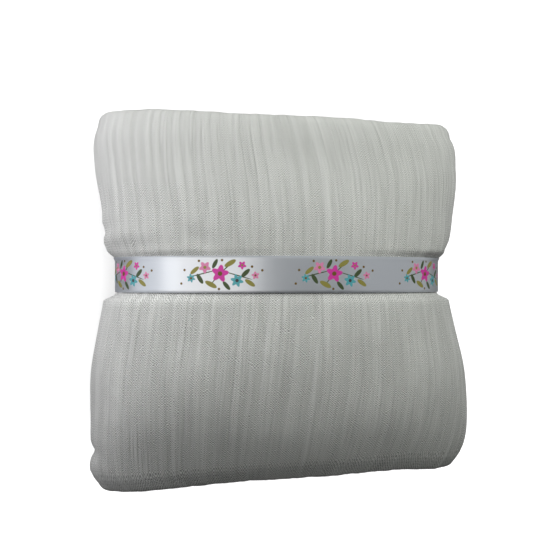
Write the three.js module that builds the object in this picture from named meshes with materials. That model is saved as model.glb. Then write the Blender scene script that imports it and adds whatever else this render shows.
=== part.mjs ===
// A four-layer muslin stroller blanket, folded in half twice along its length and wound into a
// flat oval roll, with a satin ribbon round its waist. Millimetres, +Z up. The roll lies on its
// back, with its axis along Y. The origin is at the centre of its footprint, on the surface.
import * as THREE from "three";
import { mergeVertices } from "three/addons/utils/BufferGeometryUtils.js";

// Roll
const TURNS = 3; // of the folded strip, from the face to the slit at the roll's core
const CORE_HALF_WIDTH = 58; // the slit's reach to the left and right
const CORE_Z = 2; // the slit's height above the roll's axis
const SQUARENESS = 2.3; // exponent of the oval: 2 is an ellipse
const FLAT_DEPTH = 5; // how far the roll's own weight flattens its back
const LOOSE_EDGE = 222; // degrees round the roll: where the strip's end lies, at the back left
const LOOSE_TROUGH = 2; // depth beside the strip's end, and the height of the end over it
const LOOSE_RIDGE = 1.2;

// Ends of the roll. Each turn is a strip of four layers. These rows say, from a turn's outer face
// inwards, how far the cloth lies below the crest of the strip's folds.
const FOLD_DEPTH = 8; // down to the groove between two turns
const UPPER_FOLDS = [FOLD_DEPTH, 1.2, 0.2, 3.6, 2.2]; // a fold of two layers, then two hems
const LOWER_FOLDS = [FOLD_DEPTH, 1.8, 0, 0.3, 2.2]; // one fold round all four layers
const CREEP = 0.8; // each turn lies below the one outside it, by at most twice this

// Ribbon
const RIBBON_WIDTH = 22;
const RIBBON_THICKNESS = 1;
const RIBBON_Y = 15.5; // its middle, above the roll's own middle
const CLEARANCE = 0.3; // between the ribbon and the cloth

// Where the ribbon draws the roll in
const SEAT_MARGIN = 0.6; // the pressed band is wider than the ribbon by this on each side
const SEAT_RUN = 5; // the cloth rises back beside the ribbon over this distance
const SEAT_SIDE = 6.5; // depth at the left and right
const SEAT_FRONT = 1.2;
const SEAT_BACK = 7.5;

// Crinkles that run along the roll
const CRINKLE_HEIGHT = 0.7;

// Facets
const COLUMNS = 84; // round the roll
const STEPS_BELOW = 13; // along the roll, from the ribbon to the lower end
const STEPS_ABOVE = 11; // from the ribbon to the upper end

// How far the cloth reaches from the roll's axis, at places along it
const REACH = [
  { y: -120, left: 118.5, right: 112, front: 37, back: 59 },
  { y: -110, left: 122.5, right: 122.5, front: 42, back: 64 },
  { y: -100, left: 123.5, right: 126, front: 47, back: 65.5 },
  { y: -90, left: 124, right: 127.6, front: 52, back: 66 },
  { y: -80, left: 124, right: 127.8, front: 56.5, back: 66 },
  { y: -65, left: 124, right: 127.2, front: 61.2, back: 66 },
  { y: -50, left: 123.6, right: 125.4, front: 63.8, back: 66 },
  { y: -20, left: 119, right: 118.2, front: 65.3, back: 64 },
  { y: 15, left: 114, right: 112, front: 63, back: 62 },
  { y: 50, left: 116, right: 115.6, front: 63.2, back: 63 },
  { y: 85, left: 121, right: 119.4, front: 61.4, back: 64 },
  { y: 106, left: 121, right: 115, front: 59.5, back: 62 },
  { y: 118, left: 116, right: 102, front: 54, back: 57 },
];

// How far the crests of the folds reach along Y from the roll's middle, at angles round it:
// 0 right, 90 front, 180 left. The turns have crept, so the left side is the longest.
const ENDS = [
  { angle: -180, upper: 118, lower: 121 },
  { angle: -120, upper: 115.5, lower: 114.5 },
  { angle: -60, upper: 114, lower: 110.5 },
  { angle: 0, upper: 115, lower: 113 },
  { angle: 30, upper: 113, lower: 112.5 },
  { angle: 60, upper: 110.2, lower: 109.3 },
  { angle: 90, upper: 111, lower: 111 },
  { angle: 120, upper: 113.6, lower: 116 },
  { angle: 150, upper: 116.6, lower: 120.6 },
  { angle: 180, upper: 118, lower: 121 },
];

// Creases pressed across the crinkles: a trough has a positive depth, a ridge a negative one.
// angle: degrees round the roll, 0 right, 90 front, 180 left; spread: half its length, degrees;
// rise: how far it climbs along Y over that half length; width: half its width.
const CREASES = [
  { angle: 154, y: 31, spread: 26, rise: -1.5, width: 4.5, depth: 2.2 },
  { angle: 166, y: 38, spread: 16, rise: -2, width: 3.5, depth: -1.4 },
  { angle: 174, y: 43.5, spread: 10, rise: 0, width: 3, depth: 1.2 },
  { angle: 168, y: 51, spread: 14, rise: -2, width: 4.5, depth: -1.1 },
  { angle: 117, y: 37, spread: 6, rise: 4, width: 5, depth: 1.2 },
  { angle: 12, y: 32, spread: 14, rise: -2, width: 4.5, depth: 2.2 },
  { angle: 178, y: -97, spread: 16, rise: 0, width: 4, depth: 3 },
  { angle: 182, y: -110, spread: 20, rise: 0, width: 7, depth: -1.4 },
  { angle: 8, y: -110, spread: 14, rise: 3, width: 6, depth: 1.6 },
];

const MUSLIN = { color: 0xc9cbc6, roughness: 0.95, metalness: 0 };
const SATIN = { color: 0xe4e6ec, roughness: 0.35, metalness: 0 };

const { smoothstep, lerp, degToRad, radToDeg, euclideanModulo } = THREE.MathUtils;
const seatHalf = RIBBON_WIDTH / 2 + SEAT_MARGIN;
const ringsPerTurn = UPPER_FOLDS.length;
const ringsToCore = TURNS * ringsPerTurn;
const floorReach = Math.max(...REACH.map((row) => row.back)) - FLAT_DEPTH;

const reachCurve = new THREE.CubicInterpolant(
  REACH.map((row) => row.y),
  REACH.flatMap((row) => [row.left, row.right, row.front, row.back]),
  4,
);
const endCurve = new THREE.CubicInterpolant(
  ENDS.map((row) => row.angle),
  ENDS.flatMap((row) => [row.lower, row.upper]),
  2,
);

// The oval's reach from the axis at a place along the roll: the same all over the ribbon's seat.
function reachAt(y) {
  const place = lerp(y, RIBBON_Y, seatShare(y));
  const [left, right, front, back] = reachCurve.evaluate(place);
  return { left, right, front, back };
}

// Where the crests of the folds lie on the upper (side 1) or lower (side -1) end.
function endReach(angle, side) {
  const degrees = euclideanModulo(radToDeg(angle) + 180, 360) - 180;
  const [lower, upper] = endCurve.evaluate(degrees);
  return side > 0 ? upper : lower;
}

// A soft bump of height 1 that fades out at about twice its width.
function bump(distance, width) {
  return Math.exp(-((distance / width) ** 2));
}

// A cosine or sine squared off towards the oval's corners.
function squared(value) {
  return Math.sign(value) * Math.abs(value) ** (2 / SQUARENESS);
}

// Column number to its angle round the roll: the columns start at the loose edge.
function angleOf(column) {
  return degToRad(LOOSE_EDGE) - (2 * Math.PI * column) / COLUMNS;
}

// 1 under the ribbon, fading to 0 beside it.
function seatShare(y) {
  return 1 - smoothstep(Math.abs(y - RIBBON_Y), seatHalf, seatHalf + SEAT_RUN);
}

// How far the ribbon presses the cloth in, at an angle round the roll.
function seatDepth(angle, y) {
  const face = Math.sin(angle) > 0 ? SEAT_FRONT : SEAT_BACK;
  return seatShare(y) * lerp(SEAT_SIDE, face, Math.sin(angle) ** 2);
}

// How far the creases press the cloth in.
function creaseDepth(angle, y) {
  const clearOfSeat = 1 - seatShare(y);
  return CREASES.reduce((sum, crease) => {
    const turn = euclideanModulo(angle - degToRad(crease.angle) + Math.PI, 2 * Math.PI) - Math.PI;
    const along = turn / degToRad(crease.spread);
    const across = y - crease.y - crease.rise * along;
    return sum + clearOfSeat * crease.depth * bump(along, 1) * bump(across, crease.width);
  }, 0);
}

// Uneven crinkles: the columns stand proud by turns that never repeat round the roll.
function crinkleDepth(column, y) {
  const wander = Math.sin(y / 47 + column * 0.6);
  const height = 0.7 * Math.sin(column * 2.4) + 0.5 * Math.sin(column * 4.1 + wander);
  return CRINKLE_HEIGHT * height * (1 - seatShare(y));
}

// Along the back, the strip's end stands over the turn below it, with a trough beside it.
function looseEdgeDepth(column, y) {
  const steps = Math.min(column, COLUMNS - column);
  const shape = LOOSE_TROUGH * bump(steps, 1) - LOOSE_RIDGE * bump(column - 3, 1.5);
  return shape * (1 - seatShare(y));
}

// A point on the roll's face, or lifted off it, at a place along the roll.
function facePoint(column, y, lift = 0) {
  const angle = angleOf(column);
  const cosine = squared(Math.cos(angle));
  const sine = squared(Math.sin(angle));
  const reach = reachAt(y);
  const detail = creaseDepth(angle, y) + crinkleDepth(column, y) + looseEdgeDepth(column, y);
  const depth = seatDepth(angle, y) + detail - lift;
  const wide = (cosine > 0 ? reach.right : reach.left) - depth;
  const tall = (sine > 0 ? reach.front : reach.back) - depth;
  return new THREE.Vector3(wide * cosine, y, Math.max(tall * sine, -floorReach));
}

// How far an end lies below its crests, at a ring counted inwards from the face. In the first
// columns the loose end of the strip grows from nothing to its full thickness.
function foldDrop(column, ring, side) {
  const folds = side > 0 ? UPPER_FOLDS : LOWER_FOLDS;
  const looseRings = Math.min(column, ringsPerTurn);
  if (ring > looseRings) return folds[(ring - looseRings) % ringsPerTurn];
  const share = looseRings / ringsPerTurn;
  const place = ring / Math.max(looseRings, 1);
  const drop = folds[Math.round(place * ringsPerTurn) % ringsPerTurn];
  return lerp(FOLD_DEPTH, drop, share);
}

// The turns under the outermost one have each crept by their own amount.
function creep(angle, ring) {
  const turn = Math.floor(ring / ringsPerTurn);
  return CREEP * turn * (1 + Math.sin(angle + turn));
}

// A point on the upper (side 1) or lower (side -1) end: the rings close in on the core's slit.
function endPoint(column, ring, side) {
  const angle = angleOf(column);
  const reach = endReach(angle, side);
  const core = new THREE.Vector3(CORE_HALF_WIDTH * squared(Math.cos(angle)), 0, CORE_Z);
  const point = facePoint(column, side * (reach - FOLD_DEPTH)).lerp(core, ring / ringsToCore);
  point.y = side * (reach - foldDrop(column, ring, side) - creep(angle, ring));
  return point;
}

// The point at the middle of an end, at the bottom of the slit.
function corePoint(side) {
  return new THREE.Vector3(0, side * (endReach(Math.PI / 2, side) - FOLD_DEPTH), CORE_Z);
}

// A point on the face: share runs from 0 at the ribbon's seat to 1 at the folded edge.
function stationPoint(column, share, side) {
  const seatEdge = RIBBON_Y + side * seatHalf;
  const foldEdge = side * (endReach(angleOf(column), side) - FOLD_DEPTH);
  const eased = (1 - Math.cos(Math.PI * share)) / 2;
  return facePoint(column, lerp(seatEdge, foldEdge, eased));
}

// The skin of a turned shape: place(column, row) gives each point, and rows run up the outside.
// From the row turnFrom on, the facets are split along their other diagonal.
function turnedSkin(rowCount, place, turnFrom = rowCount) {
  const rows = Array.from({ length: rowCount }, (_, row) => new THREE.Vector2(1, row));
  const geometry = new THREE.LatheGeometry(rows, COLUMNS);
  const position = geometry.getAttribute("position");
  const corners = geometry.index.array;
  for (let column = 0; column <= COLUMNS; column += 1) {
    for (let row = 0; row < rowCount; row += 1) {
      const point = place(column % COLUMNS, row);
      position.setXYZ(column * rowCount + row, point.x, point.y, point.z);
    }
  }
  for (let column = 0; column < COLUMNS; column += 1) {
    for (let row = turnFrom; row < rowCount - 1; row += 1) {
      const a = column * rowCount + row;
      const b = a + rowCount;
      corners.set([a, b, b + 1, a, b + 1, a + 1], (column * (rowCount - 1) + row) * 6);
    }
  }
  geometry.deleteAttribute("normal");
  geometry.deleteAttribute("uv");
  const welded = mergeVertices(geometry);
  welded.computeVertexNormals();
  return welded;
}

// The wound blanket: lower end from its core outwards, face, then the upper end inwards.
function makeRoll() {
  const rows = [() => corePoint(-1)];
  for (let ring = ringsToCore - 1; ring >= 0; ring -= 1) {
    rows.push((column) => endPoint(column, ring, -1));
  }
  for (let step = STEPS_BELOW - 1; step >= 0; step -= 1) {
    rows.push((column) => stationPoint(column, step / STEPS_BELOW, -1));
  }
  for (let step = 0; step < STEPS_ABOVE; step += 1) {
    rows.push((column) => stationPoint(column, step / STEPS_ABOVE, 1));
  }
  const upperEnd = rows.length;
  for (let ring = 0; ring < ringsToCore; ring += 1) {
    rows.push((column) => endPoint(column, ring, 1));
  }
  rows.push(() => corePoint(1));
  return turnedSkin(rows.length, (column, row) => rows[row](column), upperEnd);
}

// The ribbon: a flat band that follows the pressed cloth at an even distance.
function makeRibbon() {
  const inner = CLEARANCE;
  const outer = CLEARANCE + RIBBON_THICKNESS;
  const lower = RIBBON_Y - RIBBON_WIDTH / 2;
  const upper = RIBBON_Y + RIBBON_WIDTH / 2;
  const corners = [
    { lift: inner, y: lower },
    { lift: outer, y: lower },
    { lift: outer, y: upper },
    { lift: inner, y: upper },
    { lift: inner, y: lower },
  ];
  return turnedSkin(corners.length, (column, row) => {
    const corner = corners[row];
    return facePoint(column, corner.y, corner.lift);
  });
}

function makeNode(name, geometry, finish) {
  const mesh = new THREE.Mesh(geometry, new THREE.MeshStandardMaterial(finish));
  mesh.name = name;
  return mesh;
}

const group = new THREE.Group();
group.add(makeNode("blanket", makeRoll(), MUSLIN));
group.add(makeNode("ribbon", makeRibbon(), SATIN));

// Stand the roll on the surface, with the middle of its footprint at the origin.
const box = new THREE.Box3().setFromObject(group);
const middle = box.getCenter(new THREE.Vector3());
group.position.set(-middle.x, -middle.y, -box.min.z);
group.updateMatrixWorld(true);

export default group;
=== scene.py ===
"""A muslin stroller blanket, folded, wound into a roll and held by a printed satin ribbon.

The blanket is one sheet: folded in half twice along its length, and wound up from one end. The
roll lies on its back with its axis along Y. Sizes are in metres and angles in degrees, and an
angle round the roll is 0 at the right, 90 at the front (the top), and 180 at the left.
"""

import logging
import math
from dataclasses import dataclass, field
from enum import Enum

import bpy
import numpy as np
from mathutils import Matrix, Vector


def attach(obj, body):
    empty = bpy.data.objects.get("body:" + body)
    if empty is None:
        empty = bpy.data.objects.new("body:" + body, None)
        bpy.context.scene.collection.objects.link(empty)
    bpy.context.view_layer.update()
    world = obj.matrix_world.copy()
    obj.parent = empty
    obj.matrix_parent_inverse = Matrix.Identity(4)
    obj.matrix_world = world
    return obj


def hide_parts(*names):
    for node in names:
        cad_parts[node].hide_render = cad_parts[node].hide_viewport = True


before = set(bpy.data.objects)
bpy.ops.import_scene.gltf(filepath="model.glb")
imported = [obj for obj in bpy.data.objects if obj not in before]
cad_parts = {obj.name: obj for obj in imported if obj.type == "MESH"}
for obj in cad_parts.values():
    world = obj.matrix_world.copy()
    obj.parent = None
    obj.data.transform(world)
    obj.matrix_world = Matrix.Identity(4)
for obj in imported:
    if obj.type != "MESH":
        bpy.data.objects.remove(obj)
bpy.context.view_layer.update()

LOG = logging.getLogger("blanket")
MM = 0.001
Pair = tuple[float, float]
Triple = tuple[float, float, float]

# the upper end of a layer, as a point of the cross-section counts it
LAYER_TOP = 3.0
# places across the flat blanket that are closer than this are one
SAME_PATH = 1e-9
# from where to where a printed shape's ink grows full, in shares of its size inside its edge
INK_EDGE = (-0.04, 0.08)
# the notches between a flower's petals, and its centre, in shares of its size
PETAL_DEPTH = 0.2
HEART_SHARE = 0.26
# the degrees that a flower is turned for each millimetre along the ribbon, so that they differ
FLOWER_TURN = 13.0
# a leaf's width, as a share of its length, and half the width of a stem in millimetres
LEAF_SHARE = 0.38
TWIG_HALF_WIDTH = 0.34


def smoothstep(value: np.ndarray, low: float, high: float) -> np.ndarray:
    """A smooth rise from 0 at low to 1 at high.

    Args:
        value: Where to read the rise.
        low: Where it starts.
        high: Where it ends.

    Returns:
        The height of the rise at each value.
    """
    share = np.clip((value - low) / (high - low), 0.0, 1.0)
    return share * share * (3.0 - 2.0 * share)


def bump(distance: np.ndarray, width: float) -> np.ndarray:
    """A soft bump of height 1 that fades out at about twice its width."""
    return np.exp(-((distance / width) ** 2))


def turned_by(angle: np.ndarray, middle: float) -> np.ndarray:
    """How far an angle lies from a middle one, from -180 to 180 degrees."""
    return np.mod(angle - middle + 180.0, 360.0) - 180.0


def along_table(places: np.ndarray, values: np.ndarray, at: np.ndarray) -> np.ndarray:
    """Reads a table on the smooth curve through its rows.

    Args:
        places: Where the rows stand, in rising order.
        values: One value for each row.
        at: Where to read.

    Returns:
        The value at each place asked for.
    """
    at = np.clip(at, places[0], places[-1])
    slopes = np.gradient(values, places)
    row = np.clip(np.searchsorted(places, at) - 1, 0, len(places) - 2)
    span = places[row + 1] - places[row]
    t = (at - places[row]) / span
    rise = values[row + 1] - values[row]
    start = slopes[row] * span
    end = slopes[row + 1] * span
    return values[row] + t * start + t * t * ((3 * rise - 2 * start - end) + t * (start + end - 2 * rise))


def uneven(at: np.ndarray, wavelength: float, seed: int) -> np.ndarray:
    """A smooth uneven line, from about -1 to 1, that never repeats.

    Args:
        at: Where to read it.
        wavelength: The usual distance between two crests.
        seed: Which line.

    Returns:
        The height of the line at each place.
    """
    phases = np.random.RandomState(seed).uniform(0.0, 2.0 * math.pi, 4)
    rates = (0.61, 1.0, 1.37, 2.11)
    shares = (0.35, 0.35, 0.25, 0.12)
    turn = 2.0 * math.pi * at / wavelength
    return sum(a * np.sin(r * turn + p) for a, r, p in zip(shares, rates, phases))


class End(Enum):
    """The two ends of the roll."""

    UPPER = 1
    LOWER = -1


@dataclass(frozen=True)
class Crease:
    """A soft trough, or a ridge where the depth is negative, pressed across the crinkles.

    Attributes:
        angle: Where it lies round the roll.
        y: Where it lies along the roll.
        spread: Half its length, in degrees.
        rise: How far it climbs along the roll over that half length.
        width: Half its width.
        depth: How deep it is.
    """

    angle: float
    y: float
    spread: float
    rise: float
    width: float
    depth: float


@dataclass(frozen=True)
class RollForm:
    """The form of the wound roll, and where the ribbon draws it in.

    Places are counted from the roll's own middle, which stands at `middle` in the frame.
    """

    middle: Triple = (-2.044 * MM, 1.651 * MM, 61.0 * MM)
    squareness: float = 2.3
    turns: int = 3
    core_half_width: float = 58.0 * MM
    core_height: float = 2.0 * MM
    floor_reach: float = 61.0 * MM
    floor_softness: float = 1.5 * MM
    loose_edge: float = 222.0
    ribbon_y: float = 15.5 * MM
    ribbon_width: float = 22.0 * MM
    seat_margin: float = 0.6 * MM
    seat_run: float = 5.0 * MM
    seat_flare: float = 2.5 * MM
    seat_run_above: float = 6.5 * MM
    seat_side: float = 6.5 * MM
    seat_front: float = 0.8 * MM
    seat_back: float = 7.5 * MM
    upper_fold_depth: float = 8.0 * MM
    lower_fold_depth: float = 4.0 * MM
    lump_height: float = 0.5 * MM
    ripple_height: float = 0.25 * MM
    # y, then how far the cloth reaches to the left, right, front and back, in millimetres
    reach: tuple[tuple[float, ...], ...] = (
        (-120, 118.5, 112, 37, 59),
        (-110, 122.5, 122.5, 42, 64),
        (-100, 123.5, 126, 47, 65.5),
        (-90, 124, 127.6, 52, 66),
        (-80, 124, 127.8, 56.5, 66),
        (-65, 124, 127.2, 61.2, 66),
        (-50, 123.6, 125.4, 63.8, 66),
        (-20, 119, 118.2, 65.3, 64),
        (15, 114, 112, 63, 62),
        (50, 116, 115.6, 63.2, 63),
        (85, 121, 119.4, 61.4, 64),
        (106, 121, 115, 59.5, 62),
        (118, 116, 102, 54, 57),
    )
    # angle, then how far the folds reach at the upper and the lower end, in millimetres
    ends: tuple[tuple[float, ...], ...] = (
        (-180, 118, 122.6),
        (-120, 115.5, 114.5),
        (-60, 114, 110.5),
        (0, 115, 113),
        (30, 113, 112.5),
        (60, 110.2, 109.9),
        (90, 111, 111.8),
        (120, 113.6, 116),
        (150, 116.6, 121.4),
        (180, 118, 122.6),
    )
    creases: tuple[Crease, ...] = (
        Crease(154, 31 * MM, 26, -1.5 * MM, 4.5 * MM, 2.2 * MM),
        Crease(166, 38 * MM, 16, -2 * MM, 3.5 * MM, -1.4 * MM),
        Crease(174, 43.5 * MM, 10, 0, 3 * MM, 1.2 * MM),
        Crease(168, 51 * MM, 14, -2 * MM, 4.5 * MM, -1.1 * MM),
        Crease(117, 37 * MM, 6, 4 * MM, 5 * MM, 1.2 * MM),
        Crease(12, 32 * MM, 14, -2 * MM, 4.5 * MM, 2.2 * MM),
        Crease(178, -97 * MM, 16, 0, 4 * MM, 3.0 * MM),
        Crease(182, -110 * MM, 20, 0, 7 * MM, -1.4 * MM),
        Crease(8, -110 * MM, 14, 3 * MM, 6 * MM, 1.6 * MM),
    )

    @property
    def seat_limits(self) -> tuple[float, float]:
        """Where the cloth starts to dip towards the ribbon, below and above it."""
        half = self.ribbon_width / 2 + self.seat_margin + self.seat_run
        return self.ribbon_y - half, self.ribbon_y + half

    def squared(self, value: np.ndarray) -> np.ndarray:
        """A cosine or sine, squared off towards the oval's corners."""
        return np.sign(value) * np.abs(value) ** (2.0 / self.squareness)

    def seat_share(self, y: np.ndarray) -> np.ndarray:
        """1 under the ribbon, fading to 0 beside it, sooner above it than below."""
        half = self.ribbon_width / 2 + self.seat_margin
        off = y - self.ribbon_y
        above = smoothstep(off, half - self.seat_flare, half - self.seat_flare + self.seat_run_above)
        return 1.0 - above - smoothstep(-off, half, half + self.seat_run)

    def reach_at(self, y: np.ndarray) -> list[np.ndarray]:
        """The oval's reach from the axis: left, right, front and back.

        Args:
            y: Places along the roll.

        Returns:
            Four arrays, in the order of the table.
        """
        rows = np.array(self.reach) * MM
        place = y + (self.ribbon_y - y) * self.seat_share(y)
        return [along_table(rows[:, 0], rows[:, column], place) for column in range(1, 5)]

    def end_reach(self, angle: np.ndarray, end: End) -> np.ndarray:
        """How far the crests of the folds reach from the roll's middle.

        Args:
            angle: Angles round the roll.
            end: Which end of the roll.

        Returns:
            The reach at each angle, always positive.
        """
        rows = np.array(self.ends)
        column = 1 if end is End.UPPER else 2
        places = np.concatenate([rows[:-1, 0] - 360.0, rows[:, 0], rows[1:, 0] + 360.0])
        values = np.concatenate([rows[:-1, column], rows[:, column], rows[1:, column]])
        return along_table(places, values * MM, turned_by(angle, 0.0))

    def crease_depth(self, angle: np.ndarray, y: np.ndarray) -> np.ndarray:
        """How far the creases press the cloth in."""
        total = np.zeros(np.broadcast(angle, y).shape)
        for crease in self.creases:
            along = turned_by(angle, crease.angle) / crease.spread
            across = y - crease.y - crease.rise * along
            total += crease.depth * bump(along, 1.0) * bump(across, crease.width)
        return total * (1.0 - self.seat_share(y))

    def lump_depth(self, angle: np.ndarray, y: np.ndarray) -> np.ndarray:
        """Soft unevenness of the padding under the outer layer."""
        # a wave's numbers are its crests round the roll and its rate along it, so no two line up
        turn = np.radians(angle)
        slow = np.sin(3 * turn + 40 * y) * np.sin(55 * y + 2 * turn + 1.0)
        quick = np.sin(7 * turn - 30 * y + 2.0) * np.sin(90 * y - 3 * turn)
        return (self.lump_height * slow + self.ripple_height * quick) * (1.0 - self.seat_share(y))

    def above_floor(self, z: np.ndarray) -> np.ndarray:
        """Flattens what would lie under the surface, with a soft bend where it lifts off."""
        over = z + self.floor_reach
        return 0.5 * (over + np.sqrt(over * over + self.floor_softness**2)) - self.floor_reach

    def face(self, angle: np.ndarray, y: np.ndarray, press: float = 0.0) -> tuple:
        """Points on the roll's outer face.

        Args:
            angle: Angles round the roll.
            y: Places along the roll.
            press: How far each point is pressed in; a negative value lifts it off.

        Returns:
            The x and the z of each point, from the roll's axis.
        """
        turn = np.radians(angle)
        cosine = self.squared(np.cos(turn))
        sine = self.squared(np.sin(turn))
        left, right, front, back = self.reach_at(y)
        middle = np.where(sine > 0, self.seat_front, self.seat_back)
        seat = (self.seat_side + (middle - self.seat_side) * np.sin(turn) ** 2) * self.seat_share(y)
        depth = seat + self.crease_depth(angle, y) + self.lump_depth(angle, y) + press
        wide = np.where(cosine > 0, right, left) - depth
        tall = np.where(sine > 0, front, back) - depth
        return wide * cosine, self.above_floor(tall * sine)

    def place(self, angle: np.ndarray, y: np.ndarray, share: np.ndarray) -> np.ndarray:
        """Points in the frame, at a depth under the outer face.

        Args:
            angle: Angles round the roll.
            y: Places along the roll.
            share: Their depth, from 0 at the outer face to 1 at the slit in the core.

        Returns:
            An array with the x, y and z of each point in its last dimension.
        """
        upper = self.end_reach(angle, End.UPPER) - self.upper_fold_depth
        lower = self.end_reach(angle, End.LOWER) - self.lower_fold_depth
        x, z = self.face(angle, np.clip(y, -lower, upper))
        core = self.core_half_width * self.squared(np.cos(np.radians(angle)))
        x = x + (core - x) * share
        z = z + (self.core_height - z) * share
        return np.stack(np.broadcast_arrays(x, y, z), axis=-1) + np.array(self.middle)


class Fineness(Enum):
    """How finely the cloth is divided along the winding, at one line of its cross-section."""

    HIDDEN = 0
    FACE = 1
    CREST = 2


@dataclass(frozen=True)
class Section:
    """One stretch of the folded strip's cross-section: a layer, or a fold between two layers.

    Attributes:
        layers: The layer, or the two layers that the fold joins, counted from the outside.
        end: Which end of the roll the fold is at, or None for a layer.
        upward: Whether the cloth runs towards the upper end in this layer.
        face_outside: Whether the blanket's outer face is on the outside of the fold.
        outer_length: How far the fold stands over its layers, on its outside.
        inner_length: The same on its inside.
        parts: How many parts the fold is drawn in, on the blanket's outer and inner face.
    """

    layers: tuple[int, ...]
    end: End | None = None
    upward: bool = True
    face_outside: bool = True
    outer_length: float = 0.0
    inner_length: float = 0.0
    parts: tuple[int, int] = (6, 6)


@dataclass(frozen=True)
class LinePoint:
    """One point of the closed line round the cloth's cross-section.

    Attributes:
        section: The number of its section.
        t: Its place in the section: 0 to 1 in a fold, or in a layer 0 at the lower end, 1 and 2
            at the lower and upper side of the ribbon's seat, and 3 at the upper end.
        side: 1 on the blanket's outer face, -1 on its inner face, and between them at a hem.
        fineness: How finely it is divided along the winding.
        path: How far across the flat blanket it lies.
    """

    section: int
    t: float
    side: float
    fineness: Fineness
    path: float


@dataclass
class Columns:
    """The places along the winding where the cloth's cross-section is drawn.

    Attributes:
        turn: Degrees wound from the loose end.
        depth: The depth of the strip's outer face, in the roll's full turns.
        share: The strip's thickness, as a share of its full thickness.
        length: The distance along the cloth's outer face from the loose end.
        starts: The numbers of the columns that every line of the cross-section uses.
    """

    turn: np.ndarray
    depth: np.ndarray
    share: np.ndarray
    length: np.ndarray
    starts: list[int]


@dataclass(frozen=True)
class Crinkles:
    """Furrows and pillows that run across the blanket, along the roll's axis.

    Each furrow's sizes are drawn at random. A pair of shares holds the least and the most of the
    size that stands before it, and a pair of places or lengths is in metres.
    """

    spacing: float = 5.4 * MM
    spacing_shares: Pair = (0.4, 1.6)
    depth: float = 0.85 * MM
    depth_shares: Pair = (0.2, 1.0)
    depth_power: float = 1.3
    width: float = 1.5 * MM
    width_shares: Pair = (0.6, 1.4)
    wander: float = 0.8 * MM
    wander_shares: Pair = (0.4, 1.0)
    wander_spacing: float = 0.21
    centres: Pair = (-0.1, 0.1)
    half_runs: Pair = (0.06, 0.22)
    fade_run: float = 0.07
    fade_change: float = 0.25
    fade_spacing: float = 0.05
    wave_height: float = 0.2 * MM
    wave_spacing: float = 15.0 * MM
    wave_sway: float = 0.004
    sway_run: float = 0.05
    seed: int = 11

    def height(self, place: np.ndarray, y: np.ndarray) -> np.ndarray:
        """How far the cloth stands proud at places along and across the strip.

        Args:
            place: The distance along the cloth's grain, with a row for each line across it.
            y: The place along the roll, in the same rows.

        Returns:
            The height at each place, mostly negative.
        """
        draw = np.random.RandomState(self.seed)
        swayed = place + self.wave_sway * np.sin(y / self.sway_run)
        total = self.wave_height * uneven(swayed, self.wave_spacing, self.seed)
        least, most = place.min(axis=0), place.max(axis=0)
        middle = self.spacing * 0.5
        while middle < float(most.max()) + self.spacing:
            centre, half_run = draw.uniform(*self.centres), draw.uniform(*self.half_runs)
            depth = self.depth * draw.uniform(*self.depth_shares) ** self.depth_power
            width = self.width * draw.uniform(*self.width_shares)
            swing = self.wander * draw.uniform(*self.wander_shares)
            seed = int(draw.randint(1 << 30))
            room = 2.0 * self.wander + 3.0 * width
            near = (least < middle + room) & (most > middle - room)
            rows = y[:, near]
            line = middle + swing * uneven(rows, self.wander_spacing, seed)
            fade = 1.0 - smoothstep(np.abs(rows - centre), half_run, half_run + self.fade_run)
            fade *= 1.0 - self.fade_change + self.fade_change * uneven(rows, self.fade_spacing, seed + 1)
            total[:, near] -= depth * fade * bump(place[:, near] - line, width)
            middle += self.spacing * draw.uniform(*self.spacing_shares)
        return total


@dataclass(frozen=True)
class GrainSlant:
    """How the crinkles lean at the right of the front, where the cloth was pulled askew.

    Attributes:
        amount: How far they lean along the cloth, where a run ends.
        middle: The angle round the roll that start and stop are counted from.
        start: Between which angles the lean sets in.
        stop: Between which angles it fades out.
        above: Where it begins, above the roll's middle.
        above_run: How far on from there it is full.
        above_power: How late it sets in there.
        below_run: How far below the roll's middle it is full.
        below_power: How late it sets in there.
        below_share: How strong it is there.
    """

    amount: float = 11.0 * MM
    middle: float = 60.0
    start: Pair = (-80.0, -30.0)
    stop: Pair = (15.0, 70.0)
    above: float = 45.0 * MM
    above_run: float = 60.0 * MM
    above_power: float = 1.6
    below_run: float = 90.0 * MM
    below_power: float = 1.4
    below_share: float = 0.85

    def shift(self, angle: np.ndarray, y: np.ndarray) -> np.ndarray:
        """How far the grain is shifted along the cloth.

        Args:
            angle: Angles round the roll.
            y: The place along the roll at each of them.

        Returns:
            The shift at each place.
        """
        off = turned_by(angle, self.middle)
        share = smoothstep(off, *self.start) * (1.0 - smoothstep(off, *self.stop))
        above = np.clip((y - self.above) / self.above_run, 0.0, None) ** self.above_power
        below = np.clip(-y / self.below_run, 0.0, None) ** self.below_power
        return self.amount * share * (above + self.below_share * below)


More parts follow.
